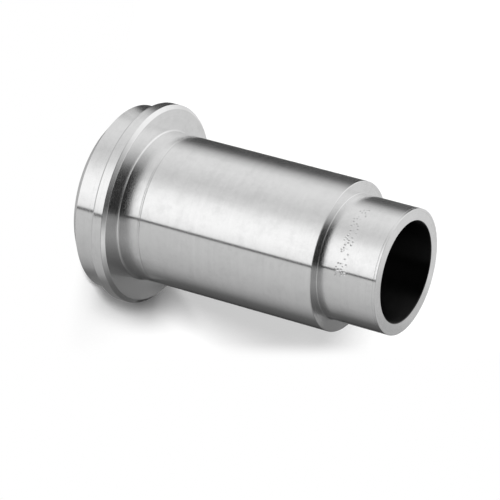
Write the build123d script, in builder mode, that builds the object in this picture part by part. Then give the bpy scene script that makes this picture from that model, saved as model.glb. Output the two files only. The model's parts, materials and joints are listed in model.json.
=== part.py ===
from build123d import *
import os

# Face seal gland: one turned steel piece. A collar with a sealing bead stands at the
# bottom, a plain body carries the nut that slides over it, and a thin tube stub to be
# welded points up. The origin is at the middle of the plane that the bead touches, and
# the turning axis is +Z. Sizes are in millimetres.

# Tube stub and bore
tube_diameter = 12.7
bore_diameter = 10.2
stub_length = 6.35

# Body that the nut turns on, from the collar's back face to the shoulder
body_diameter = 15.2
body_length = 21.95

# Collar: a rim with a bevelled back edge that the nut pulls on
collar_diameter = 20.5
rim_width = 1.15
bevel_height = 0.35
bevel_reach = 0.42

# Land: the narrower disc in front of the rim, which a gasket's clip snaps over. Its front
# edge has a broad lead-in bevel
land_diameter = 18.9
land_length = 3.35
lead_in_height = 1.05
lead_in_reach = 1.3

# Sealing face: a round bead that stands proud of the flat annulus around it
bead_circle_diameter = 13.4
bead_radius = 1.1
bead_height = 0.4

# Small forms left by the tool
collar_root_fillet = 0.2
shoulder_root_fillet = 0.08
bead_blend = 0.15
rim_front_break = 0.18
shoulder_break = 0.05
mouth_chamfer = 0.06
line_offset = 2.35
line_width = 0.25
line_depth = 0.05

# Heights along the axis, from the bead's crest up
face_height = bead_height
lead_in_top = face_height + lead_in_height
land_top = face_height + land_length
rim_top = land_top + rim_width
collar_top = rim_top + bevel_height
shoulder_height = collar_top + body_length
total_height = shoulder_height + stub_length

# Radii, and the half width of the bead where it meets the face
bore_radius = bore_diameter / 2
tube_radius = tube_diameter / 2
body_radius = body_diameter / 2
collar_radius = collar_diameter / 2
land_radius = land_diameter / 2
lead_in_radius = land_radius - lead_in_reach
bead_circle_radius = bead_circle_diameter / 2
bead_half_width = (bead_radius**2 - (bead_radius - bead_height) ** 2) ** 0.5
back_face_radius = collar_radius - bevel_reach


def ring_edges(part, radius, height):
    """the circular edges of that radius at that height"""
    circles = part.edges().filter_by(GeomType.CIRCLE)
    return circles.filter_by(
        lambda edge: abs(edge.radius - radius) < 0.001 and abs(edge.center().Z - height) < 0.001
    )


with BuildPart() as gland:
    # Half section, turned once round the axis
    with BuildSketch(Plane.XZ):
        with BuildLine():
            Polyline(
                (bead_circle_radius + bead_half_width, face_height),
                (lead_in_radius, face_height),
                (land_radius, lead_in_top),
                (land_radius, land_top),
                (collar_radius, land_top),
                (collar_radius, rim_top),
                (back_face_radius, collar_top),
                (body_radius, collar_top),
                (body_radius, shoulder_height),
                (tube_radius, shoulder_height),
                (tube_radius, total_height),
                (bore_radius, total_height),
                (bore_radius, face_height),
                (bead_circle_radius - bead_half_width, face_height),
            )
            ThreePointArc(
                (bead_circle_radius - bead_half_width, face_height),
                (bead_circle_radius, 0),
                (bead_circle_radius + bead_half_width, face_height),
            )
        make_face()
    revolve(axis=Axis.Z)

    # Blends where the bead rises from the flat face
    bead_feet = ring_edges(gland, bead_circle_radius - bead_half_width, face_height)
    bead_feet += ring_edges(gland, bead_circle_radius + bead_half_width, face_height)
    fillet(bead_feet, radius=bead_blend)

    # Tool radius in the two inner corners
    fillet(ring_edges(gland, body_radius, collar_top), radius=collar_root_fillet)
    fillet(ring_edges(gland, tube_radius, shoulder_height), radius=shoulder_root_fillet)

    # Outer edges with the burr taken off
    chamfer(ring_edges(gland, collar_radius, land_top), length=rim_front_break)
    chamfer(ring_edges(gland, body_radius, shoulder_height), length=shoulder_break)

    # Both mouths of the bore
    mouths = ring_edges(gland, bore_radius, face_height)
    mouths += ring_edges(gland, bore_radius, total_height)
    chamfer(mouths, length=mouth_chamfer)

    # Fine line turned round the body behind the collar
    with BuildSketch(Plane.XZ):
        with Locations((body_radius, collar_top + line_offset)):
            Rectangle(2 * line_depth, line_width)
    revolve(axis=Axis.Z, mode=Mode.SUBTRACT)

gland.part.label = "gland"

os.makedirs("parts", exist_ok=True)
export_step(gland.part, "parts/gland.step")
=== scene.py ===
import json
import math
import random

import bmesh
import bpy
from bpy.props import FloatProperty, FloatVectorProperty, IntProperty, PointerProperty
from bpy.types import Operator, Panel, PropertyGroup
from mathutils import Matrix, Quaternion, Vector


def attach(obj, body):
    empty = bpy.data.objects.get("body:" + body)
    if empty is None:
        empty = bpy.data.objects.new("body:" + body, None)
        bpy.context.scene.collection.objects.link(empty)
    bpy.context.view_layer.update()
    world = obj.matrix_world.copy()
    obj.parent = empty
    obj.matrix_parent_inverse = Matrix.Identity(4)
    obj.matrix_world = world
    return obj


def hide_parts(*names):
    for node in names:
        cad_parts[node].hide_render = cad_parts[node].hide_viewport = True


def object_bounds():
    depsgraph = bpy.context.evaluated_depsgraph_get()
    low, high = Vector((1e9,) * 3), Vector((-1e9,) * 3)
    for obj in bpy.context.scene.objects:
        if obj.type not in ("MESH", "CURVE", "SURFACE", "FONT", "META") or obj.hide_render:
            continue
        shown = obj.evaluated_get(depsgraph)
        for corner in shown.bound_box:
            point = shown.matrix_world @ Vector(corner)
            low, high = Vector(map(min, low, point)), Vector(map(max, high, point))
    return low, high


bl_info = {
    "name": "Face seal gland",
    "version": (1, 0, 0),
    "blender": (4, 5, 0),
    "location": "3D View > Sidebar > Gland",
    "description": "Turns the visible form and finish of a face seal gland around its packed solid",
    "category": "Object",
}

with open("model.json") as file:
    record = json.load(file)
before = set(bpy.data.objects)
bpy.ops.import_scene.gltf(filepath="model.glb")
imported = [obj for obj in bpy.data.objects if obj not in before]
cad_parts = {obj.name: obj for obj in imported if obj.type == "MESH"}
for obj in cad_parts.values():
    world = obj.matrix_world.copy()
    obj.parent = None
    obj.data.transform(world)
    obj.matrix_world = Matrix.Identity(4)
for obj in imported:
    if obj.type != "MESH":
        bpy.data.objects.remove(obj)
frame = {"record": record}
cad_low, cad_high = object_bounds()
mounts = {mount["name"]: mount for mount in frame["record"]["mounts"]}

MM = 0.001
UP = Vector((0.0, 0.0, 1.0))
WHITE = (1.0, 1.0, 1.0, 1.0)
BLACK = (0.0, 0.0, 0.0, 1.0)

# Mesh steps in a rounded corner and across the bead, and how far to each side the bead's steps go
ARC_STEPS = 6
BEAD_STEPS = 36
BEAD_REACH = 0.95 * MM
# Rounding of the stub's outer edge at its end, and how far apart two radii still count as one
TIP_ROUNDING = 0.03 * MM
SAME_RADIUS = 1e-7

# Shallow turned lines, as distance from the start of a straight run, width and depth
LAND_LINES = ((1.45 * MM, 0.14 * MM, 0.003 * MM),)
RIM_LINES = ((0.5 * MM, 0.14 * MM, 0.003 * MM),)
SHOULDER_LINES = ((0.45 * MM, 0.14 * MM, 0.002 * MM),)
STUB_TIP_LINE = (0.25 * MM, 0.1 * MM, 0.006 * MM)
END_FACE_LINES = ((0.3 * MM, 0.12 * MM, 0.004 * MM),)
# Section of such a line, as shares of its width and of its depth
LINE_SECTION = ((-0.5, 0), (-0.2, 1), (0.2, 1), (0.5, 0))

# How the dents are scattered: how crowded a column can be, how far a dent can stray from its place
# in shares of the spacing, and the share of the full depth that the shallowest one has
DENT_SEED = 23
CROWDING = (0.4, 1.0, 1.4)
STRAY_ROUND = 0.45
STRAY_ALONG = 0.4
SHALLOWEST = 0.3
# A dent's bowl and the lip round it, in shares of its radius and depth
DENT_REACH = 1.8
BOWL_FALL = 2.5
LIP_PLACE = 1.15
LIP_FALL = 9
LIP_SHARE = 0.25
HIGHEST_LIP = 0.2
# How far the fine mesh under the dents goes past their band, in radii of a dent
FINE_MARGIN = 3

# How much the turned rings change on their way round the axis, where patches of wear start and are
# full, and the quarter turn that lays the highlights across the turned lines
RING_DRIFT = 0.2 * MM
WEAR_BAND = (0.42, 0.68)
QUARTER_TURN = 0.25

# Brightness of the soft panels that the metal mirrors, as degrees round from the camera's side
# and level: level with the part and below it, above it, and overhead
LOW_PANELS = (
    (-180, 0.17),
    (-172, 0.1),
    (-161, 0.06),
    (-152, 0.05),
    (-138, 0.065),
    (-128, 0.15),
    (-112, 0.62),
    (-98, 0.9),
    (-80, 0.93),
    (-48, 0.79),
    (-34, 0.9),
    (-20, 1.2),
    (-8, 1.31),
    (8, 1.31),
    (20, 1.2),
    (28, 1.05),
    (31, 0.72),
    (60, 0.64),
    (95, 0.5),
    (110, 0.37),
    (130, 0.13),
    (148, 0.09),
    (165, 0.07),
    (180, 0.17),
)
HIGH_PANELS = (
    (-180, 0.8),
    (-150, 0.88),
    (-130, 1.15),
    (-110, 1.2),
    (-90, 1.15),
    (-78, 0.97),
    (-60, 0.65),
    (-52, 0.45),
    (-44, 0.2),
    (-35, 0.06),
    (-28, 0.02),
    (24, 0.02),
    (31, 0.15),
    (40, 0.4),
    (66, 0.36),
    (84, 0.28),
    (100, 0.2),
    (118, 0.14),
    (140, 0.12),
    (160, 0.14),
    (172, 0.5),
    (180, 0.8),
)
TOP_PANELS = (
    (-180, 0.8),
    (-127, 1.2),
    (-90, 1.05),
    (-75, 0.75),
    (-58, 0.5),
    (-35, 0.3),
    (0, 0.16),
    (35, 0.08),
    (58, 0.4),
    (75, 1.0),
    (90, 0.8),
    (110, 0.5),
    (150, 0.5),
    (180, 0.8),
)
# Upward parts of a direction between which one ring of panels gives way to the next, and how much
# the lower of these two horizons tilts down behind the part
HORIZON_BAND = (-0.2, -0.02)
HORIZON_TILT = 0.26
OVERHEAD_BAND = (0.5, 0.85)
# The dark gap between two panels: its turn, and how far beside it they begin and are whole
GAP_TURN = 29.2
GAP_BAND = (0.9, 2.4)
GAP_LEVEL = 0.04
# The floor close to the part, which the metal mirrors as one even grey in directions that point
# further down than this
NEAR_FLOOR_BAND = (-0.75, -0.6)
NEAR_FLOOR_LEVEL = 0.58

# Glowing grey cards, in millimetres, which only the metal's reflections show: painted reflections whose
# levels stand for the floor and its shade near the part. The upright ones stand behind the part: name,
# lowest and highest edge, and for each column its place across, its level and how well it covers
BACK_CARD_NEAR = -15.0
BACK_CARDS = (
    ("back_card_low", 1.5, 27.0, (
        (6.9, 0.05, 0.0),
        (7.3, 0.05, 1.0),
        (8.2, 0.08, 1.0),
        (9.2, 0.27, 1.0),
        (10.5, 0.28, 1.0),
        (11.0, 0.05, 1.0),
        (15.0, 0.05, 1.0),
        (16.5, 0.05, 0.0),
    )),
    ("back_card_middle", 27.0, 36.0, (
        (5.0, 0.08, 0.0),
        (5.8, 0.1, 1.0),
        (6.8, 0.2, 1.0),
        (10.5, 0.22, 1.0),
        (11.0, 0.05, 1.0),
        (15.0, 0.05, 1.0),
        (16.5, 0.05, 0.0),
    )),
    ("back_card_high", 36.0, 48.0, (
        (0.0, 0.6, 0.0),
        (2.0, 0.6, 1.0),
        (5.0, 0.6, 1.0),
        (5.8, 0.46, 1.0),
        (8.0, 0.46, 1.0),
        (11.0, 0.46, 0.0),
    )),
)
# The flat ones lie beside the collar: name, inner and outer edge across, and for each column its
# distance towards the camera, its level and how well it covers
FLAT_CARD_HEIGHT = 0.05
FLAT_CARDS = (
    ("flat_card_right", 9.6, 19.0, (
        (3.6, 0.22, 0.0),
        (0.8, 0.2, 1.0),
        (-10.0, 0.2, 1.0),
    )),
    ("flat_card_left", -9.6, -15.0, (
        (5.0, 0.8, 0.0),
        (3.5, 0.8, 0.8),
        (2.0, 0.72, 0.7),
        (0.9, 0.6, 0.3),
        (0.2, 0.5, 0.0),
    )),
)

# Mesh steps in each band where the floor turns plain white, which paints out the shadow there
WHITE_STEPS = 12

# How the painted shadow beside the collar grows and fades away from the camera: millimetres towards the
# camera, and share of its full depth
VEIL_STRENGTH = (
    (0.0, 0.0),
    (-3.0, 0.52),
    (-5.5, 0.72),
    (-8.0, 0.8),
    (-11.0, 0.97),
    (-13.5, 0.94),
    (-16.0, 0.68),
    (-18.0, 0.49),
    (-20.0, 0.35),
    (-30.0, 0.13),
    (-36.0, 0.0),
)
# The veil's mesh: steps away from the camera and across, their size, and where the first one lies
VEIL_ROWS = 76
VEIL_LINES = 20
VEIL_STEP = 0.5 * MM
VEIL_FIRST_SIDE = 5.0 * MM
# Its outline: how much a distance along the line of sight counts, the fade beside the body, and
# from where and how fast it draws back from the body
VEIL_STRETCH = 0.35
VEIL_BODY_FADE = 1.5 * MM
VEIL_PARTING = -16.5 * MM
VEIL_PARTING_RATE = 0.45

# Width of the camera's sensor in millimetres, and the nearest and farthest distance that it shows
SENSOR_WIDTH = 36.0
CLIP_RANGE = (0.01, 20.0)


def mount_radius(name):
    """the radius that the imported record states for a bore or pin, in metres"""
    return mounts[name]["dims"]["r_mm"] * MM


def length_property(name, description, default):
    """a property that holds a length in metres"""
    return FloatProperty(
        name=name,
        description=description,
        default=default,
        min=0.0,
        precision=5,
        subtype="DISTANCE",
        unit="LENGTH",
    )


def level_property(name, description, default):
    """a property that holds a brightness, where 1 is white"""
    return FloatProperty(name=name, description=description, default=default, min=0.0, soft_max=2.0)


def share_property(name, description, default):
    """a property that holds a number from 0 to 1"""
    return FloatProperty(
        name=name, description=description, default=default, min=0.0, max=1.0, subtype="FACTOR"
    )


def angle_property(name, description, degrees):
    """a property that holds an angle"""
    return FloatProperty(
        name=name,
        description=description,
        default=math.radians(degrees),
        subtype="ANGLE",
        unit="ROTATION",
    )


def colour_property(name, description, default):
    """a property that holds a colour"""
    return FloatVectorProperty(
        name=name, description=description, default=default, size=3, min=0.0, max=1.0, subtype="COLOR"
    )


class GlandSizes(PropertyGroup):
    """Sizes of the turned profile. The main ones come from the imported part."""

    collar_radius: length_property("Collar radius", "Outside of the rim", cad_high.x)
    land_radius: length_property("Land radius", "Outside of the step before the rim", mount_radius("land"))
    body_radius: length_property("Body radius", "Outside of the long body", mount_radius("body"))
    tube_radius: length_property("Stub radius", "Outside of the tube stub", mount_radius("tube_stub"))
    bore_radius: length_property("Bore radius", "Inside of the through bore", mount_radius("bore"))
    total_height: length_property("Height", "From the bead's crest to the stub's end", cad_high.z)
    collar_top: length_property(
        "Collar top", "Height of the collar's back face", mounts["collar_back"]["pos_m"][2]
    )
    stub_length: length_property("Stub length", "From the shoulder to the stub's end", 6.35 * MM)
    land_length: length_property("Land length", "From the flat face to the rim", 3.35 * MM)
    lead_in_height: length_property("Lead-in height", "Height of the land's front bevel", 1.05 * MM)
    lead_in_reach: length_property("Lead-in reach", "How far that bevel runs in over the face", 1.3 * MM)
    bevel_height: length_property("Bevel height", "Height of the bevel on the rim's back edge", 0.32 * MM)
    bevel_reach: length_property("Bevel reach", "How far the bevel runs in over the back face", 0.38 * MM)
    bevel_softness: length_property("Bevel softness", "Rounding of that bevel's two edges", 0.08 * MM)
    bead_circle: length_property("Bead circle radius", "Radius of the circle of the bead's crest", 6.7 * MM)
    bead_radius: length_property("Bead radius", "Radius of the bead's round section", 1.1 * MM)
    bead_height: length_property("Bead height", "How far the bead stands out of the flat face", 0.4 * MM)
    bead_blend: length_property("Bead blend", "Softening where the bead leaves the flat face", 0.12 * MM)
    collar_root: length_property("Collar root", "Tool radius between the body and the collar", 0.2 * MM)
    shoulder_root: length_property("Shoulder root", "Tool radius between stub and shoulder", 0.06 * MM)
    rim_front: length_property("Rim front", "Rounding of the rim's front edge", 0.2 * MM)
    shoulder_edge: length_property("Shoulder edge", "Rounding of the shoulder's outer edge", 0.06 * MM)
    mouth_edge: length_property("Mouth edge", "Rounding of both mouths of the bore", 0.09 * MM)
    line_offset: length_property("Line offset", "Fine turned line's height above the back face", 2.35 * MM)
    line_width: length_property("Line width", "Width of the fine turned line", 0.25 * MM)
    line_depth: length_property("Line depth", "Depth of the fine turned line", 0.015 * MM)
    turns: IntProperty(name="Turns", description="Mesh steps round the axis", default=288, min=48, max=720)


class PeenedMark(PropertyGroup):
    """A band of small scattered dents on the stub"""

    middle: length_property("Middle", "Distance of the band's middle from the stub's end", 3.9 * MM)
    width: length_property("Width", "Width of the band along the axis", 1.1 * MM)
    spacing: length_property("Spacing", "Usual distance between two dents", 0.28 * MM)
    density: share_property("Density", "Share of the places in the band that have a dent", 0.5)
    dent_radius: length_property("Dent radius", "Radius of one dent", 0.12 * MM)
    dent_depth: length_property("Dent depth", "Depth of the deepest dent", 0.032 * MM)
    start: angle_property("Start", "Turn of the first dent from the camera's side", -48.0)
    end: angle_property("End", "Turn of the last dent from the camera's side", 21.0)
    mesh_step: length_property("Mesh step", "Size of the mesh cells under the dents", 0.045 * MM)


class SteelFinish(PropertyGroup):
    """Finish of the turned surfaces"""

    steel: colour_property("Steel", "Colour of the turned steel", (0.757, 0.757, 0.757))
    # painted shade: the bore's near-black colour stands for the shade deep inside the bore
    bore: colour_property("Bore", "Colour of the darker wall inside the bore", (0.05, 0.05, 0.05))
    roughness: share_property("Roughness", "Roughness of the turned steel", 0.15)
    bore_roughness: share_property("Bore roughness", "Roughness inside the bore", 0.3)
    tone_change: share_property("Tone change", "How much the turned lines change the colour", 0.08)
    wear_tone: share_property("Wear tone", "How much darker the patches of wear are", 0.05)
    roughness_change: share_property("Roughness change", "How much the lines change the roughness", 0.3)
    # painted shade: how much darker the dents' colour is at their bottom
    dent_tone: share_property("Dent tone", "How much darker the bottom of the deepest dent is", 0.35)
    line_relief: length_property("Line relief", "Depth of the finest turned lines", 0.0004 * MM)


class StudioSetting(PropertyGroup):
    """Camera, floor and light. Directions are turns about +Z from the camera's own side."""

    camera_azimuth: angle_property("Camera azimuth", "Where the camera stands round the part", 0.0)
    camera_reach: length_property("Camera reach", "Distance of the camera from the axis", 296.7 * MM)
    camera_rise: length_property("Camera rise", "Height of the camera above the stub's end", 135.6 * MM)
    aim_drop: length_property("Aim drop", "Depth of the point looked at below the stub's end", 17.024 * MM)
    aim_side: length_property("Aim side", "How far that point lies to the side of the axis", 1.95 * MM)
    camera_roll: angle_property("Camera roll", "Turn of the camera about its own line of sight", 105.42)
    lens: FloatProperty(name="Lens", description="Focal length in millimetres", default=242.5, min=20.0)
    floor_size: length_property("Floor size", "Side of the square floor", 6.0)
    floor_colour: colour_property("Floor", "Colour of the floor", (0.94, 0.94, 0.94))
    # The floor turns plain white to the camera beyond two lines, painting out the part's shadow and shade
    # there
    white_side: length_property("White side", "Where the floor turns white beside the axis", 15.4 * MM)
    white_width: length_property("White width", "Width of the band where it turns plain white", 2.2 * MM)
    white_near: length_property("White near", "Where the floor turns white towards the camera", 0.1 * MM)
    white_near_width: length_property("White near width", "Width of the band there", 4.4 * MM)
    white_lean: angle_property("White lean", "Turn of both bands from the camera's line of sight", 5.3)
    # The veil is a thin black sheet over the floor that paints the shadow beside the collar
    veil_behind: length_property("Veil behind", "How far behind the axis its middle lies", 10.5 * MM)
    veil_core: length_property("Veil core", "Distance from the axis within which it is darkest", 9.7 * MM)
    veil_outer: length_property("Veil outer", "Distance from the axis where it ends", 14.0 * MM)
    veil_inner: length_property("Veil inner", "Distance from the axis where it begins", 6.4 * MM)
    veil_height: length_property("Veil height", "Height of the thin sheet over the floor", 0.3 * MM)
    veil_level: share_property("Veil level", "How much light it takes where it is darkest", 0.9)
    sun_angle: angle_property("Sun size", "How wide the soft lamp looks from the part", 8.0)
    sun_elevation: angle_property("Sun elevation", "Height of the soft lamp above the floor", 29.6)
    sun_side: angle_property("Sun side", "Turn of the soft lamp away from the camera", -8.2)
    sun_level: level_property("Sun level", "What the soft lamp adds to a white floor", 0.53)
    sky_level: level_property("Sky level", "What the even light adds to a white floor", 0.57)
    sky_lean: share_property("Sky lean", "How much more of that light comes from one side", 0.95)


def camera_side(azimuth):
    """level directions from the axis towards the camera and towards its right-hand side"""
    towards = Vector((math.sin(azimuth), -math.cos(azimuth), 0.0))
    across = Vector((math.cos(azimuth), math.sin(azimuth), 0.0))
    return towards, across


def direction(azimuth, turn, elevation):
    """unit vector at a turn about +Z from the camera's side, and an elevation"""
    towards, across = camera_side(azimuth)
    level = towards * math.cos(turn) + across * math.sin(turn)
    return level * math.cos(elevation) + UP * math.sin(elevation)


def bead_height_at(sizes, offset):
    """height of the sealing face at that distance from the bead's circle"""
    face = sizes.bead_height
    rise = sizes.bead_radius - math.sqrt(max(sizes.bead_radius**2 - offset**2, 0.0))
    gap = max(sizes.bead_blend - abs(rise - face), 0.0) / sizes.bead_blend
    return min(rise, face) - gap * gap * sizes.bead_blend / 4


class HalfSection:
    """Closed outline of the metal on one side of the axis, with the metal on the left of the way round"""

    def __init__(self):
        self.corners = []

    def corner(self, radius, height, soft=0.0, lines=(), smooth=False):
        """adds a corner: soft rounds it, and lines are cut into the straight run that follows it"""
        self.corners.append((Vector((radius, height)), soft, lines, smooth))

    def points(self):
        """the outline's points, each with a note of whether the surface has a sharp edge there"""
        found = []
        count = len(self.corners)
        for index, (place, soft, lines, smooth) in enumerate(self.corners):
            before = self.corners[index - 1][0]
            after = self.corners[(index + 1) % count][0]
            if soft:
                found.extend(rounded(place, before, after, soft))
            else:
                found.append((place, not smooth))
            along = (after - place).normalized()
            inward = Vector((-along.y, along.x))
            for distance, width, depth in lines:
                for share, sunk in LINE_SECTION:
                    spot = place + along * (distance + width * share) + inward * (depth * sunk)
                    found.append((spot, True))
        return found


def rounded(place, before, after, size):
    """the arc that replaces a corner, with a sharp note only where it meets the straight runs"""
    back = (before - place).normalized()
    forth = (after - place).normalized()
    half = back.angle(forth) / 2
    reach = size / math.tan(half)
    centre = place + (back + forth).normalized() * (size / math.sin(half))
    first = (place + back * reach - centre).normalized()
    last = (place + forth * reach - centre).normalized()
    arc = []
    for step in range(ARC_STEPS + 1):
        arc.append((centre + first.slerp(last, step / ARC_STEPS) * size, step in (0, ARC_STEPS)))
    return arc


def mark_heights(sizes, mark):
    """heights of the fine mesh rows that the dents need"""
    reach = mark.width / 2 + FINE_MARGIN * mark.dent_radius
    middle = sizes.total_height - mark.middle
    count = round(2 * reach / mark.mesh_step)
    return [middle + reach * (2 * row / count - 1) for row in range(count + 1)]


def half_section(sizes, mark):
    """the gland's outline, from the bore's lower mouth outwards and up"""
    section = HalfSection()
    face = sizes.bead_height
    lead_in_radius = sizes.land_radius - sizes.lead_in_reach
    lead_in_top = face + sizes.lead_in_height
    land_top = face + sizes.land_length
    rim_top = sizes.collar_top - sizes.bevel_height
    back_radius = sizes.collar_radius - sizes.bevel_reach
    shoulder = sizes.total_height - sizes.stub_length
    body_line = (sizes.line_offset, sizes.line_width, sizes.line_depth)
    section.corner(sizes.bore_radius, face, soft=sizes.mouth_edge)
    for step in range(BEAD_STEPS + 1):
        offset = BEAD_REACH * (2 * step / BEAD_STEPS - 1)
        height = bead_height_at(sizes, offset)
        section.corner(sizes.bead_circle + offset, height, smooth=0 < step < BEAD_STEPS)
    section.corner(lead_in_radius, face)
    section.corner(sizes.land_radius, lead_in_top, lines=LAND_LINES)
    section.corner(sizes.land_radius, land_top)
    section.corner(sizes.collar_radius, land_top, soft=sizes.rim_front, lines=RIM_LINES)
    section.corner(sizes.collar_radius, rim_top, soft=sizes.bevel_softness)
    section.corner(back_radius, sizes.collar_top, soft=sizes.bevel_softness)
    section.corner(sizes.body_radius, sizes.collar_top, soft=sizes.collar_root, lines=(body_line,))
    section.corner(sizes.body_radius, shoulder, soft=sizes.shoulder_edge, lines=SHOULDER_LINES)
    section.corner(sizes.tube_radius, shoulder, soft=sizes.shoulder_root)
    for height in mark_heights(sizes, mark):
        section.corner(sizes.tube_radius, height, smooth=True)
    tip_start = sizes.total_height - 2 * STUB_TIP_LINE[0]
    section.corner(sizes.tube_radius, tip_start, lines=(STUB_TIP_LINE,), smooth=True)
    section.corner(sizes.tube_radius, sizes.total_height, soft=TIP_ROUNDING, lines=END_FACE_LINES)
    section.corner(sizes.bore_radius, sizes.total_height, soft=sizes.mouth_edge)
    return section


def dents(sizes, mark, azimuth):
    """places of the scattered dents on the stub as turn, height and share of the full depth"""
    chance = random.Random(DENT_SEED)
    base = azimuth - math.pi / 2
    middle = sizes.total_height - mark.middle
    lines = round(mark.width / mark.spacing)
    columns = round((mark.end - mark.start) * sizes.tube_radius / mark.spacing)
    found = []
    for column in range(columns):
        crowded = mark.density * chance.choice(CROWDING)
        for line in range(lines):
            if chance.random() < crowded:
                along = (column + chance.uniform(-STRAY_ROUND, STRAY_ROUND)) / columns
                rise = (line + 0.5 + chance.uniform(-STRAY_ALONG, STRAY_ALONG)) / lines - 0.5
                turn = base + mark.start + (mark.end - mark.start) * along
                share = chance.uniform(SHALLOWEST, 1.0)
                found.append((turn, middle + mark.width * rise, share))
    return found


def dent_depth_at(sizes, mark, places, turn, height):
    """how deep the dents go at one point of the stub"""
    depth = 0.0
    for dent_turn, dent_height, share in places:
        rise = height - dent_height
        if abs(rise) > DENT_REACH * mark.dent_radius:
            continue
        along = (turn - dent_turn) * sizes.tube_radius
        distance = math.hypot(along, rise) / mark.dent_radius
        if distance < DENT_REACH:
            bowl = math.exp(-BOWL_FALL * distance * distance)
            lip = LIP_SHARE * math.exp(-LIP_FALL * (distance - LIP_PLACE) ** 2)
            depth += share * mark.dent_depth * (bowl - lip)
    return max(depth, -HIGHEST_LIP * mark.dent_depth)


def turn_angles(sizes, mark, azimuth):
    """angles of the mesh steps round the axis, finer where the dents are"""
    base = azimuth - math.pi / 2
    margin = FINE_MARGIN * mark.dent_radius / sizes.tube_radius
    low = base + mark.start - margin
    high = base + mark.end + margin
    fine = round((high - low) * sizes.tube_radius / mark.mesh_step)
    coarse = round((2 * math.pi - (high - low)) / (2 * math.pi) * sizes.turns)
    angles = [low + (high - low) * step / fine for step in range(fine)]
    angles += [high + (2 * math.pi - (high - low)) * step / coarse for step in range(coarse)]
    return angles


def turned_mesh(name, sizes, mark, azimuth):
    """the half section turned about +Z, with the upper mouth and the bore in the second, near-black
    material, which paints the shade inside the bore
    """
    mesh = bmesh.new()
    dented_share = mesh.verts.layers.float.new("dent")
    outline = half_section(sizes, mark).points()
    angles = turn_angles(sizes, mark, azimuth)
    places = dents(sizes, mark, azimuth)
    marked = mark_heights(sizes, mark)
    rings = []
    sharp_rings = []
    for (radius, height), sharp in outline:
        on_stub = abs(radius - sizes.tube_radius) < SAME_RADIUS
        dented = on_stub and marked[0] <= height <= marked[-1]
        ring = []
        for angle in angles:
            depth = dent_depth_at(sizes, mark, places, angle, height) if dented else 0.0
            reach = radius - depth
            point = mesh.verts.new((reach * math.cos(angle), reach * math.sin(angle), height))
            point[dented_share] = min(max(depth / mark.dent_depth, 0.0), 1.0)
            ring.append(point)
        rings.append(ring)
        if sharp:
            sharp_rings.append(ring)
    count = len(rings)
    steps = len(angles)
    # the bore and its upper mouth take the near-black material, which paints the shade inside the bore
    first_dark = count - ARC_STEPS - 1
    for index, ring in enumerate(rings):
        following = rings[(index + 1) % count]
        for turn in range(steps):
            beside = (turn + 1) % steps
            face = mesh.faces.new((ring[turn], ring[beside], following[beside], following[turn]))
            face.smooth = True
            face.material_index = 1 if index >= first_dark else 0
    for ring in sharp_rings:
        for turn in range(steps):
            mesh.edges.get((ring[turn], ring[(turn + 1) % steps])).smooth = False
    data = bpy.data.meshes.new(name)
    mesh.to_mesh(data)
    mesh.free()
    piece = bpy.data.objects.new(name, data)
    bpy.context.scene.collection.objects.link(piece)
    return piece


def new_node(tree, kind, label, **inputs):
    """adds a node, sets its named inputs, and returns it"""
    node = tree.nodes.new(kind)
    node.label = label
    for key, value in inputs.items():
        node.inputs[key].default_value = value
    return node


def math_node(tree, operation, label, *sources):
    """adds a Math node fed by sockets or plain numbers, and returns its output"""
    node = tree.nodes.new("ShaderNodeMath")
    node.operation = operation
    node.label = label
    for slot, source in enumerate(sources):
        if isinstance(source, (int, float)):
            node.inputs[slot].default_value = source
        else:
            tree.links.new(source, node.inputs[slot])
    return node.outputs[0]


def mix_colours(tree, label, share, first, second):
    """adds a colour Mix node fed by sockets or grey levels, and returns its output"""
    node = tree.nodes.new("ShaderNodeMix")
    node.data_type = "RGBA"
    node.label = label
    # the node's share is socket 0, and its two colours are sockets 6 and 7
    for slot, source in ((0, share), (6, first), (7, second)):
        if isinstance(source, (int, float)):
            node.inputs[slot].default_value = source if slot == 0 else (source, source, source, 1.0)
        else:
            tree.links.new(source, node.inputs[slot])
    return node.outputs[2]


def mix_shaders(tree, label, share, first, second):
    """adds a Mix Shader node fed by sockets, and returns its output"""
    node = tree.nodes.new("ShaderNodeMixShader")
    node.label = label
    for slot, source in enumerate((share, first, second)):
        tree.links.new(source, node.inputs[slot])
    return node.outputs["Shader"]


def smooth_step(tree, value, band, label):
    """0 below the band, 1 above it, and smooth between its ends"""
    node = tree.nodes.new("ShaderNodeMapRange")
    node.label = label
    node.interpolation_type = "SMOOTHSTEP"
    node.inputs["From Min"].default_value = band[0]
    node.inputs["From Max"].default_value = band[1]
    tree.links.new(value, node.inputs["Value"])
    return node.outputs["Result"]


def point_value(tree, name):
    """what the mesh's own points carry under a name"""
    node = tree.nodes.new("ShaderNodeAttribute")
    node.attribute_name = name
    return node.outputs["Fac"]


def finish_tree(tree, kind, shader):
    """leads a shader to the output of a material or a world"""
    out = tree.nodes.new(kind)
    tree.links.new(shader, out.inputs["Surface"])


def bare_material(name):
    """a material whose node tree is still empty"""
    material = bpy.data.materials.new(name)
    material.use_nodes = True
    material.node_tree.nodes.clear()
    return material


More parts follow.
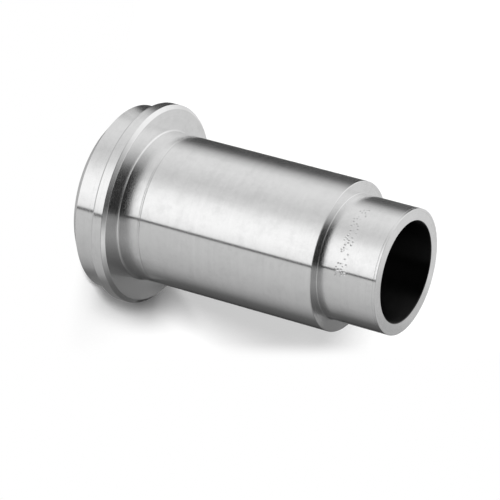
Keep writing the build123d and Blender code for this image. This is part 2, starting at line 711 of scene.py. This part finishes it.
def turned_lines_group():
    """shared effect: rings that follow the turning axis, and soft clouds of wear across them"""
    group = bpy.data.node_groups.new("turned_lines", "ShaderNodeTree")
    group.interface.new_socket("Tone", in_out="OUTPUT", socket_type="NodeSocketFloat")
    group.interface.new_socket("Grain", in_out="OUTPUT", socket_type="NodeSocketFloat")
    group.interface.new_socket("Wear", in_out="OUTPUT", socket_type="NodeSocketFloat")
    where = group.nodes.new("ShaderNodeTexCoord").outputs["Object"]
    parts = group.nodes.new("ShaderNodeSeparateXYZ")
    group.links.new(where, parts.inputs[0])
    x, y, z = (parts.outputs[name] for name in "XYZ")
    x_square = math_node(group, "POWER", "X squared", x, 2.0)
    y_square = math_node(group, "POWER", "Y squared", y, 2.0)
    squares = math_node(group, "ADD", "Squares", x_square, y_square)
    radius = math_node(group, "SQRT", "Radius", squares)
    turn = math_node(group, "ARCTAN2", "Turn", y, x)
    cosine = math_node(group, "COSINE", "Cosine of the turn", turn)
    sine = math_node(group, "SINE", "Sine of the turn", turn)
    drift_x = math_node(group, "MULTIPLY", "Drift one way", cosine, RING_DRIFT)
    drift_y = math_node(group, "MULTIPLY", "Drift other way", sine, RING_DRIFT)
    profile = math_node(group, "ADD", "Along the section", radius, z)
    ring_place = group.nodes.new("ShaderNodeCombineXYZ")
    group.links.new(profile, ring_place.inputs["X"])
    group.links.new(drift_x, ring_place.inputs["Y"])
    group.links.new(drift_y, ring_place.inputs["Z"])
    noise = "ShaderNodeTexNoise"
    broad = new_node(group, noise, "Broad rings", Scale=1100.0, Detail=2.0, Roughness=0.6)
    fine = new_node(group, noise, "Fine rings", Scale=7000.0, Detail=3.0, Roughness=0.7)
    clouds = new_node(group, noise, "Clouds of wear", Scale=550.0, Detail=6.0, Roughness=0.85)
    group.links.new(ring_place.outputs["Vector"], broad.inputs["Vector"])
    group.links.new(ring_place.outputs["Vector"], fine.inputs["Vector"])
    group.links.new(where, clouds.inputs["Vector"])
    half_broad = math_node(group, "MULTIPLY", "Half of the broad rings", broad.outputs["Fac"], 0.5)
    both = math_node(group, "MULTIPLY_ADD", "Rings", fine.outputs["Fac"], 0.5, half_broad)
    wear = smooth_step(group, clouds.outputs["Fac"], WEAR_BAND, "Patches of wear")
    out = group.nodes.new("NodeGroupOutput")
    group.links.new(both, out.inputs["Tone"])
    group.links.new(fine.outputs["Fac"], out.inputs["Grain"])
    group.links.new(wear, out.inputs["Wear"])
    return group


def steel_material(name, colour, roughness, finish, lines):
    """turned steel: sharp along the turned lines and soft across them"""
    material = bpy.data.materials.new(name)
    material.use_nodes = True
    tree = material.node_tree
    shader = tree.nodes["Principled BSDF"]
    shader.inputs["Metallic"].default_value = 1.0
    shader.inputs["Anisotropic"].default_value = 1.0
    shader.inputs["Anisotropic Rotation"].default_value = QUARTER_TURN
    tangent = new_node(tree, "ShaderNodeTangent", "Round the turning axis")
    tangent.direction_type = "RADIAL"
    tangent.axis = "Z"
    tree.links.new(tangent.outputs["Tangent"], shader.inputs["Tangent"])
    effect = tree.nodes.new("ShaderNodeGroup")
    effect.node_tree = lines
    tone, grain, wear = (effect.outputs[name] for name in ("Tone", "Grain", "Wear"))
    change = finish.tone_change
    ringed = math_node(tree, "MULTIPLY_ADD", "Tone of the rings", tone, 2 * change, 1 - change)
    worn = math_node(tree, "MULTIPLY_ADD", "Tone of the wear", wear, -finish.wear_tone, ringed)
    # painted shade: the steel's colour is darker towards the bottom of each dent, over the dents' real
    # relief
    dent = point_value(tree, "dent")
    dent_shade = math_node(tree, "MULTIPLY_ADD", "Darker in the dents", dent, -finish.dent_tone, 1.0)
    toned = math_node(tree, "MULTIPLY", "Tone", worn, dent_shade)
    tinted = tree.nodes.new("ShaderNodeVectorMath")
    tinted.operation = "SCALE"
    tinted.label = "Colour of the steel"
    tinted.inputs[0].default_value = colour
    tree.links.new(toned, tinted.inputs["Scale"])
    tree.links.new(tinted.outputs["Vector"], shader.inputs["Base Color"])
    spread = roughness * finish.roughness_change
    least = roughness - spread / 2
    lined = math_node(tree, "MULTIPLY_ADD", "Roughness of the rings", grain, spread, least)
    rough = math_node(tree, "MULTIPLY_ADD", "Roughness of the wear", wear, spread / 2, lined)
    tree.links.new(rough, shader.inputs["Roughness"])
    relief = new_node(tree, "ShaderNodeBump", "Relief of the rings", Distance=finish.line_relief)
    tree.links.new(grain, relief.inputs["Height"])
    tree.links.new(relief.outputs["Normal"], shader.inputs["Normal"])
    return material


class GLAND_OT_turn(Operator):
    """Turns the gland's visible form from its half section and gives it its finish"""

    bl_idname = "gland.turn"
    bl_label = "Turn the gland"

    def execute(self, context):
        scene = context.scene
        finish = scene.gland_finish
        azimuth = scene.gland_studio.camera_azimuth
        piece = turned_mesh("gland_turned", scene.gland_sizes, scene.gland_mark, azimuth)
        lines = turned_lines_group()
        steel = steel_material("turned_steel", finish.steel, finish.roughness, finish, lines)
        # the bore's near-black material is painted shade
        wall = steel_material("bore_painted_shade", finish.bore, finish.bore_roughness, finish, lines)
        piece.data.materials.append(steel)
        piece.data.materials.append(wall)
        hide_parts("gland")
        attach(piece, "root")
        return {"FINISHED"}


def panel_ramp(tree, turn, label, stops):
    """brightness round the horizon: stops are pairs of degrees from the camera's side, and brightness"""
    position = math_node(tree, "MULTIPLY_ADD", label + " position", turn, 1 / (2 * math.pi), 0.5)
    ramp = tree.nodes.new("ShaderNodeValToRGB")
    ramp.label = label
    ramp.color_ramp.interpolation = "LINEAR"
    while len(ramp.color_ramp.elements) > 1:
        ramp.color_ramp.elements.remove(ramp.color_ramp.elements[-1])
    for index, (degrees, level) in enumerate(stops):
        place = degrees / 360 + 0.5
        element = ramp.color_ramp.elements[0] if index == 0 else ramp.color_ramp.elements.new(place)
        element.position = place
        element.color = (level, level, level, 1.0)
    tree.links.new(position, ramp.inputs["Fac"])
    return ramp.outputs["Color"]


def panels_seen(tree, towards, across, height):
    """brightness of the soft panels in a direction given by its parts along the camera's own axes"""
    turn = math_node(tree, "ARCTAN2", "Turn from the camera's side", across, towards)
    low = panel_ramp(tree, turn, "Low panels", LOW_PANELS)
    high = panel_ramp(tree, turn, "High panels", HIGH_PANELS)
    top = panel_ramp(tree, turn, "Panels overhead", TOP_PANELS)
    away = math_node(tree, "MULTIPLY", "Away from the camera", towards, -1.0)
    behind = math_node(tree, "MAXIMUM", "Behind the part", away, 0.0)
    tilted = math_node(tree, "MULTIPLY_ADD", "Height over the tilted horizon", behind, HORIZON_TILT, height)
    upper = smooth_step(tree, tilted, HORIZON_BAND, "Above the horizon")
    overhead = smooth_step(tree, height, OVERHEAD_BAND, "Overhead")
    from_gap = math_node(tree, "SUBTRACT", "From the gap", turn, math.radians(GAP_TURN))
    beside_gap = math_node(tree, "ABSOLUTE", "Beside the gap", from_gap)
    clear = smooth_step(tree, beside_gap, [math.radians(side) for side in GAP_BAND], "Clear of the gap")
    round_about = mix_colours(tree, "Low to high", upper, low, high)
    whole = mix_colours(tree, "High to overhead", overhead, round_about, top)
    parted = mix_colours(tree, "Gap between the panels", clear, GAP_LEVEL, whole)
    level = smooth_step(tree, height, NEAR_FLOOR_BAND, "Above the floor near the part")
    return mix_colours(tree, "Floor near the part", level, NEAR_FLOOR_LEVEL, parted)


def make_world(studio):
    """white to the camera, soft light for the floor, and a ring of panels for the metal to reflect"""
    world = bpy.data.worlds.new("studio")
    bpy.context.scene.world = world
    world.use_nodes = True
    world.cycles.sampling_method = "NONE"
    tree = world.node_tree
    tree.nodes.clear()
    where = tree.nodes.new("ShaderNodeTexCoord")
    spin = new_node(tree, "ShaderNodeVectorRotate", "Camera's side is zero")
    spin.rotation_type = "Z_AXIS"
    spin.inputs["Angle"].default_value = math.pi / 2 - studio.camera_azimuth
    tree.links.new(where.outputs["Generated"], spin.inputs["Vector"])
    axes = tree.nodes.new("ShaderNodeSeparateXYZ")
    tree.links.new(spin.outputs["Vector"], axes.inputs["Vector"])
    towards, across, height = (axes.outputs[name] for name in "XYZ")
    panels = new_node(tree, "ShaderNodeBackground", "Panels that the metal reflects")
    tree.links.new(panels_seen(tree, towards, across, height), panels.inputs["Color"])
    even = new_node(tree, "ShaderNodeBackground", "Soft light on the floor", Color=WHITE)
    leaning = math_node(tree, "MULTIPLY_ADD", "More from one side", across, -studio.sky_lean, 1.0)
    level = math_node(tree, "MULTIPLY", "Sky level", leaning, studio.sky_level)
    tree.links.new(level, even.inputs["Strength"])
    white = new_node(tree, "ShaderNodeBackground", "White behind the floor", Color=WHITE)
    rays = tree.nodes.new("ShaderNodeLightPath").outputs
    even_light, panel_light, plain = (node.outputs["Background"] for node in (even, panels, white))
    lighting = mix_shaders(tree, "Light or reflection", rays["Is Glossy Ray"], even_light, panel_light)
    seen = mix_shaders(tree, "White to the camera", rays["Is Camera Ray"], lighting, plain)
    finish_tree(tree, "ShaderNodeOutputWorld", seen)


def fade(value, start, end):
    """0 at start, 1 at end, and smooth between them"""
    share = min(max((value - start) / (end - start), 0.0), 1.0)
    return share * share * (3 - 2 * share)


def between_stops(stops, place):
    """straight line between stops, which run downwards"""
    for (high, level), (low, next_level) in zip(stops, stops[1:]):
        if low <= place <= high:
            return level + (next_level - level) * (high - place) / (high - low)
    return 0.0


def grid_faces(columns, rows):
    """faces between the points of a grid, whose points run column by column"""
    faces = []
    for column in range(columns - 1):
        for row in range(rows - 1):
            first = column * rows + row
            faces.append((first, first + 1, first + rows + 1, first + rows))
    return faces


def grid_sheet(name, places, rows, material, **point_values):
    """a sheet whose points carry values under the names that its material reads"""
    data = bpy.data.meshes.new(name)
    data.from_pydata(places, [], grid_faces(len(places) // rows, rows))
    data.materials.append(material)
    for key, values in point_values.items():
        layer = data.attributes.new(name=key, type="FLOAT", domain="POINT")
        layer.data.foreach_set("value", values)
    sheet = bpy.data.objects.new(name, data)
    bpy.context.scene.collection.objects.link(sheet)
    return sheet


def floor_material(colour):
    """matt floor, with what its colour lacks of white added for the camera, and plain white parts that
    paint out the part's shadow and shade there for the camera
    """
    material = bare_material("floor")
    tree = material.node_tree
    seen = tree.nodes.new("ShaderNodeLightPath").outputs["Is Camera Ray"]
    matt = new_node(tree, "ShaderNodeBsdfDiffuse", "Matt", Color=(*colour, 1.0))
    lift = new_node(tree, "ShaderNodeEmission", "Lift", Color=(*(1 - part for part in colour), 1.0))
    tree.links.new(seen, lift.inputs["Strength"])
    both = tree.nodes.new("ShaderNodeAddShader")
    tree.links.new(matt.outputs["BSDF"], both.inputs[0])
    tree.links.new(lift.outputs["Emission"], both.inputs[1])
    plain = new_node(tree, "ShaderNodeEmission", "Plain white", Color=WHITE).outputs["Emission"]
    share = math_node(tree, "MULTIPLY", "White to the camera", point_value(tree, "white"), seen)
    whole = mix_shaders(tree, "Turning white", share, both.outputs["Shader"], plain)
    finish_tree(tree, "ShaderNodeOutputMaterial", whole)
    return material


def white_stops(half, start, width):
    """places over the floor, each with a share of white that rises smoothly over one band"""
    stops = [(-half, 0.0)]
    for step in range(WHITE_STEPS + 1):
        share = step / WHITE_STEPS
        stops.append((start + width * share, fade(share, 0.0, 1.0)))
    stops.append((half, 1.0))
    return stops


def make_floor(studio):
    """the plain floor, which the metal doesn't reflect because it mirrors the panels instead"""
    half = studio.floor_size / 2
    along = direction(studio.camera_azimuth, studio.white_lean, 0.0)
    beside = direction(studio.camera_azimuth, studio.white_lean + math.pi / 2, 0.0)
    sides = white_stops(half, studio.white_side, studio.white_width)
    nears = white_stops(half, studio.white_near, studio.white_near_width)
    places = []
    whites = []
    for side, side_white in sides:
        for near, near_white in nears:
            places.append(beside * side + along * near)
            whites.append(max(side_white, near_white))
    material = floor_material(studio.floor_colour)
    floor = grid_sheet("floor", places, len(nears), material, white=whites)
    floor.visible_glossy = False


def cover_material(name, shader):
    """shows a shader as far as the cover of the sheet's points says, and nothing elsewhere"""
    material = bare_material(name)
    tree = material.node_tree
    clear = tree.nodes.new("ShaderNodeBsdfTransparent").outputs["BSDF"]
    soft = mix_shaders(tree, "Cover", point_value(tree, "cover"), clear, shader(tree))
    finish_tree(tree, "ShaderNodeOutputMaterial", soft)
    return material


def grey_glow(tree):
    """plain grey glow, whose level comes from the card's own points"""
    glow = new_node(tree, "ShaderNodeEmission", "Grey")
    tree.links.new(point_value(tree, "level"), glow.inputs["Color"])
    return glow.outputs["Emission"]


def matt_black(tree):
    """black that takes all the light it gets"""
    return new_node(tree, "ShaderNodeBsdfDiffuse", "Black", Color=BLACK).outputs["BSDF"]


def make_card(name, studio, columns, material):
    """a glowing grey card that only reflections show, a painted reflection: for each column two corners in
    millimetres towards the camera, across and up, its level and how well it covers"""
    towards, across = camera_side(studio.camera_azimuth)
    places = []
    levels = []
    covers = []
    for corners, level, cover in columns:
        for near, side, rise in corners:
            places.append((towards * near + across * side + UP * rise) * MM)
            levels.append(level)
            covers.append(cover)
    card = grid_sheet(name, places, 2, material, level=levels, cover=covers)
    card.visible_camera = False
    card.visible_diffuse = False
    card.visible_transmission = False
    card.visible_shadow = False


def make_cards(studio):
    """the glowing grey cards, painted reflections that stand for the floor and its shade near the part,
    that the back faces and the collar mirror
    """
    material = cover_material("card", grey_glow)
    for name, low, high, shades in BACK_CARDS:
        columns = []
        for side, level, cover in shades:
            corners = ((BACK_CARD_NEAR, side, low), (BACK_CARD_NEAR, side, high))
            columns.append((corners, level, cover))
        make_card(name, studio, columns, material)
    for name, inner, outer, shades in FLAT_CARDS:
        columns = []
        for near, level, cover in shades:
            corners = ((near, inner, FLAT_CARD_HEIGHT), (near, outer, FLAT_CARD_HEIGHT))
            columns.append((corners, level, cover))
        make_card(name, studio, columns, material)


def veil_cover(studio, near, side):
    """how much light the veil keeps from the floor at a place beside the collar: painted shadow over the
    part's plain shadow
    """
    distance = math.hypot(VEIL_STRETCH * (near + studio.veil_behind), side)
    inner = studio.veil_inner + VEIL_PARTING_RATE * max(VEIL_PARTING - near, 0.0)
    beside_body = fade(side, inner, inner + VEIL_BODY_FADE)
    outwards = fade(distance, studio.veil_outer, studio.veil_core)
    return studio.veil_level * outwards * beside_body * between_stops(VEIL_STRENGTH, near / MM)


def make_veil(studio):
    """painted shadow where the collar meets the floor: a thin black sheet that only the floor notices"""
    towards, across = camera_side(studio.camera_azimuth)
    places = []
    covers = []
    for row in range(VEIL_ROWS):
        for line in range(VEIL_LINES):
            near = -row * VEIL_STEP
            side = VEIL_FIRST_SIDE + line * VEIL_STEP
            places.append(towards * near + across * side + UP * studio.veil_height)
            covers.append(veil_cover(studio, near, side))
    material = cover_material("veil", matt_black)
    veil = grid_sheet("veil", places, VEIL_LINES, material, cover=covers)
    veil.visible_camera = False
    veil.visible_glossy = False
    veil.visible_transmission = False


def make_sun(studio):
    """one soft lamp from near the camera, for the shadow on the floor"""
    lamp = bpy.data.lights.new("soft_lamp", "SUN")
    lamp.angle = studio.sun_angle
    lamp.energy = studio.sun_level * math.pi / math.sin(studio.sun_elevation)
    sun = bpy.data.objects.new("soft_lamp", lamp)
    bpy.context.scene.collection.objects.link(sun)
    towards = direction(studio.camera_azimuth, studio.sun_side, studio.sun_elevation)
    sun.rotation_mode = "QUATERNION"
    sun.rotation_quaternion = towards.to_track_quat("Z", "Y")
    sun.visible_glossy = False


def make_camera(studio, stub_end):
    """the photograph's view of the part, with the camera rolled so that the axis lies across the picture"""
    towards, across = camera_side(studio.camera_azimuth)
    place = towards * studio.camera_reach + UP * (stub_end + studio.camera_rise)
    aim = across * studio.aim_side + UP * (stub_end - studio.aim_drop)
    data = bpy.data.cameras.new("camera")
    data.sensor_width = SENSOR_WIDTH
    data.lens = studio.lens
    data.clip_start, data.clip_end = CLIP_RANGE
    camera = bpy.data.objects.new("camera", data)
    bpy.context.scene.collection.objects.link(camera)
    camera.location = place
    camera.rotation_mode = "QUATERNION"
    level = (aim - place).to_track_quat("-Z", "Y")
    camera.rotation_quaternion = level @ Quaternion(UP, studio.camera_roll)
    bpy.context.scene.camera = camera


class GLAND_OT_stage(Operator):
    """Makes the floor, the light and the camera"""

    bl_idname = "gland.stage"
    bl_label = "Set the stage"

    def execute(self, context):
        studio = context.scene.gland_studio
        context.scene.view_settings.view_transform = "Standard"
        make_world(studio)
        make_floor(studio)
        make_cards(studio)
        make_veil(studio)
        make_sun(studio)
        make_camera(studio, context.scene.gland_sizes.total_height)
        return {"FINISHED"}


class GLAND_PT_sidebar(Panel):
    """Buttons and settings for the gland"""

    bl_label = "Face seal gland"
    bl_idname = "GLAND_PT_sidebar"
    bl_space_type = "VIEW_3D"
    bl_region_type = "UI"
    bl_category = "Gland"

    def draw(self, context):
        layout = self.layout
        for operator in OPERATORS:
            layout.operator(operator.bl_idname)
        for group_name in GROUPS:
            group = getattr(context.scene, group_name)
            box = layout.box()
            for name in group.bl_rna.properties.keys():
                if name not in ("rna_type", "name"):
                    box.prop(group, name)


GROUPS = {
    "gland_sizes": GlandSizes,
    "gland_mark": PeenedMark,
    "gland_finish": SteelFinish,
    "gland_studio": StudioSetting,
}
OPERATORS = (GLAND_OT_stage, GLAND_OT_turn)


def register():
    for group in GROUPS.values():
        bpy.utils.register_class(group)
    for name, group in GROUPS.items():
        setattr(bpy.types.Scene, name, PointerProperty(type=group))
    for operator in OPERATORS:
        bpy.utils.register_class(operator)
    bpy.utils.register_class(GLAND_PT_sidebar)


def unregister():
    bpy.utils.unregister_class(GLAND_PT_sidebar)
    for operator in reversed(OPERATORS):
        bpy.utils.unregister_class(operator)
    for name in GROUPS:
        delattr(bpy.types.Scene, name)
    for group in GROUPS.values():
        bpy.utils.unregister_class(group)


def main():
    register()
    bpy.ops.gland.stage()
    bpy.ops.gland.turn()


if __name__ == "__main__":
    main()
